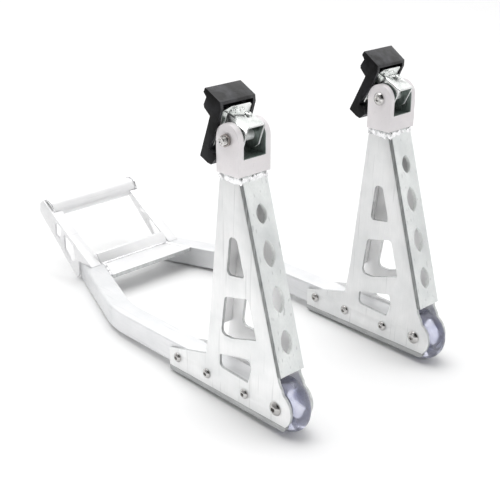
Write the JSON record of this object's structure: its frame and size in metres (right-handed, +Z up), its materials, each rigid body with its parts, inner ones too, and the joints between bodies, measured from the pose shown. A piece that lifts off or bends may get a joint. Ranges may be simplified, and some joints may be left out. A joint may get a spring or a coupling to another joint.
{
  "type": "motorcycle front paddock stand",
  "caption": "Aluminium paddock stand that lifts a motorcycle by its front fork: slotted uprights with swivelling rubber pads, clear wheels, bent rails and a raised lever handle.",
  "frame": {"origin": "on the floor, under the middle of the whole stand's bounding box", "axes": "+X from the left upright to the right one, +Y from the wheels towards the handle, +Z up"},
  "size_m": [0.3408, 0.6552, 0.4169],
  "materials": {
    "aluminium_plate": "brushed",
    "aluminium_tube": "satin",
    "clevis_aluminium": "satin",
    "zinc_steel": "zinc plated",
    "chrome_steel": "polished",
    "black_rubber": "matte",
    "clear_tyre": "clear polyurethane",
    "clear_plastic": "clear"
  },
  "bodies": {
    "frame": {"axle_bolt_left": "chrome_steel", "axle_bolt_right": "chrome_steel", "axle_nut_left": "zinc_steel", "axle_nut_right": "zinc_steel", "axle_sleeve_left": "zinc_steel", "axle_sleeve_right": "zinc_steel", "back_plate_left": "aluminium_plate", "back_plate_right": "aluminium_plate", "clevis_left": "clevis_aluminium", "clevis_right": "clevis_aluminium", "crossbar": "aluminium_tube", "front_plate_left": "aluminium_plate", "front_plate_right": "aluminium_plate", "grip_tube": "aluminium_tube", "handle_root_plate": "aluminium_tube", "handle_side_left": "aluminium_tube", "handle_side_right": "aluminium_tube", "inner_plate_left": "aluminium_plate", "inner_plate_right": "aluminium_plate", "outer_plate_left": "aluminium_plate", "outer_plate_right": "aluminium_plate", "pivot_bolt_left": "chrome_steel", "pivot_bolt_right": "chrome_steel", "pivot_nut_left": "zinc_steel", "pivot_nut_right": "zinc_steel", "rail_bolt_front_left": "chrome_steel", "rail_bolt_front_right": "chrome_steel", "rail_bolt_middle_left": "chrome_steel", "rail_bolt_middle_right": "chrome_steel", "rail_bolt_rear_left": "chrome_steel", "rail_bolt_rear_right": "chrome_steel", "rail_left": "aluminium_tube", "rail_nut_front_left": "zinc_steel", "rail_nut_front_right": "zinc_steel", "rail_nut_middle_left": "zinc_steel", "rail_nut_middle_right": "zinc_steel", "rail_nut_rear_left": "zinc_steel", "rail_nut_rear_right": "zinc_steel", "rail_right": "aluminium_tube", "sole_plate_left": "aluminium_plate", "sole_plate_right": "aluminium_plate"},
    "wheel_left": {"wheel_tyre_left": "clear_tyre", "wheel_hub_left": "clear_plastic", "wheel_bearing_outer_left": "chrome_steel", "wheel_bearing_inner_left": "chrome_steel"},
    "head_left": {"swivel_arm_left": "zinc_steel", "pivot_sleeve_left": "zinc_steel", "carrier_plate_left": "zinc_steel", "pad_screw_left": "zinc_steel", "rubber_pad_left": "black_rubber"},
    "wheel_right": {"wheel_tyre_right": "clear_tyre", "wheel_hub_right": "clear_plastic", "wheel_bearing_outer_right": "chrome_steel", "wheel_bearing_inner_right": "chrome_steel"},
    "head_right": {"swivel_arm_right": "zinc_steel", "pivot_sleeve_right": "zinc_steel", "carrier_plate_right": "zinc_steel", "pad_screw_right": "zinc_steel", "rubber_pad_right": "black_rubber"}
  },
  "joints": [
    {"name": "wheel_left_spin", "type": "hinge", "parent": "frame", "child": "wheel_left", "pos_m": [-0.135, -0.29019, 0.0373], "axis": [1, 0, 0], "continuous": true},
    {"name": "wheel_right_spin", "type": "hinge", "parent": "frame", "child": "wheel_right", "pos_m": [0.135, -0.29019, 0.0373], "axis": [1, 0, 0], "continuous": true},
    {"name": "head_left_swivel", "type": "hinge", "parent": "frame", "child": "head_left", "pos_m": [-0.135, -0.20222, 0.35923], "axis": [1, 0, 0], "range_deg": [0, 75]},
    {"name": "head_right_swivel", "type": "hinge", "parent": "frame", "child": "head_right", "pos_m": [0.135, -0.20222, 0.35923], "axis": [1, 0, 0], "range_deg": [-7, 68]}
  ]
}
